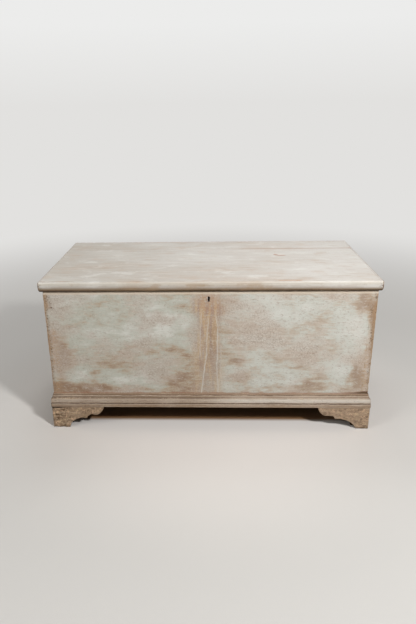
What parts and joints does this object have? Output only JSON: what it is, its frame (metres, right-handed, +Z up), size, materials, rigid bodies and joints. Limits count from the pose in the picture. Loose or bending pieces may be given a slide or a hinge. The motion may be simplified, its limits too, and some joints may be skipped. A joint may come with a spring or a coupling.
{
  "type": "blanket chest",
  "caption": "Painted lift-lid storage chest with dovetailed case, moulded base on bracket feet, bullnose lid on butt hinges and a front keyhole.",
  "frame": {"origin": "on the floor under the middle of the whole chest's box, which runs from the base moulding's face to the hinge knuckles", "axes": "+X to the right as one faces the front, +Y from the front to the back, +Z up"},
  "size_m": [1.1468, 0.5652, 0.559],
  "materials": {
    "painted_case": "worn pale grey-green paint over brown pine",
    "painted_lid": "worn cream-grey paint, rubbed smooth",
    "painted_base": "taupe-brown paint, worn through at the feet",
    "bare_pine": "bare aged pine",
    "dark_iron": "dark wrought iron, dull",
    "worn_steel": "steel rubbed bright by use"
  },
  "bodies": {
    "case": {"front_board": "painted_case", "back_board": "painted_case", "left_side_board": "painted_case", "right_side_board": "painted_case", "bottom_board_front": "bare_pine", "bottom_board_middle": "bare_pine", "bottom_board_rear": "bare_pine", "base_moulding_front": "painted_base", "base_moulding_left": "painted_base", "base_moulding_right": "painted_base", "foot_bracket_front_left": "painted_base", "foot_bracket_front_right": "painted_base", "foot_return_front_left": "painted_base", "foot_return_front_right": "painted_base", "foot_return_rear_left": "painted_base", "foot_return_rear_right": "painted_base", "foot_bracket_rear_left": "painted_base", "foot_bracket_rear_right": "painted_base", "glue_block_front_left": "bare_pine", "glue_block_front_right": "bare_pine", "glue_block_rear_left": "bare_pine", "glue_block_rear_right": "bare_pine", "keyhole_escutcheon": "worn_steel", "lock_plate": "dark_iron", "lock_cap": "dark_iron", "lock_drill_pin": "dark_iron", "lock_screw_1": "dark_iron", "lock_screw_2": "dark_iron", "lock_screw_3": "dark_iron", "lock_screw_4": "dark_iron", "left_hinge_fixed_leaf": "dark_iron", "right_hinge_fixed_leaf": "dark_iron", "left_hinge_pin": "worn_steel", "right_hinge_pin": "worn_steel", "fixed_hinge_screw_1": "dark_iron", "fixed_hinge_screw_2": "dark_iron", "fixed_hinge_screw_3": "dark_iron", "fixed_hinge_screw_4": "dark_iron", "fixed_hinge_screw_5": "dark_iron", "fixed_hinge_screw_6": "dark_iron"},
    "bolt": {"lock_bolt": "worn_steel", "lock_bolt_spring": "worn_steel"},
    "lid": {"lid_board_front": "painted_lid", "lid_board_rear": "painted_lid", "lid_moulding_front": "painted_lid", "lid_moulding_left": "painted_lid", "lid_moulding_right": "painted_lid", "lid_strike": "dark_iron", "strike_screw_1": "dark_iron", "strike_screw_2": "dark_iron", "left_hinge_moving_leaf": "dark_iron", "right_hinge_moving_leaf": "dark_iron", "moving_hinge_screw_1": "dark_iron", "moving_hinge_screw_2": "dark_iron", "moving_hinge_screw_3": "dark_iron", "moving_hinge_screw_4": "dark_iron", "moving_hinge_screw_5": "dark_iron", "moving_hinge_screw_6": "dark_iron"}
  },
  "joints": [
    {"name": "lid_hinge", "type": "hinge", "parent": "case", "child": "lid", "pos_m": [0, 0.279, 0.5348], "axis": [-1, 0, 0], "range_deg": [0, 100]},
    {"name": "bolt_slide", "type": "slide", "parent": "case", "child": "bolt", "axis": [1, 0, 0], "range_m": [0, 0.01]}
  ]
}
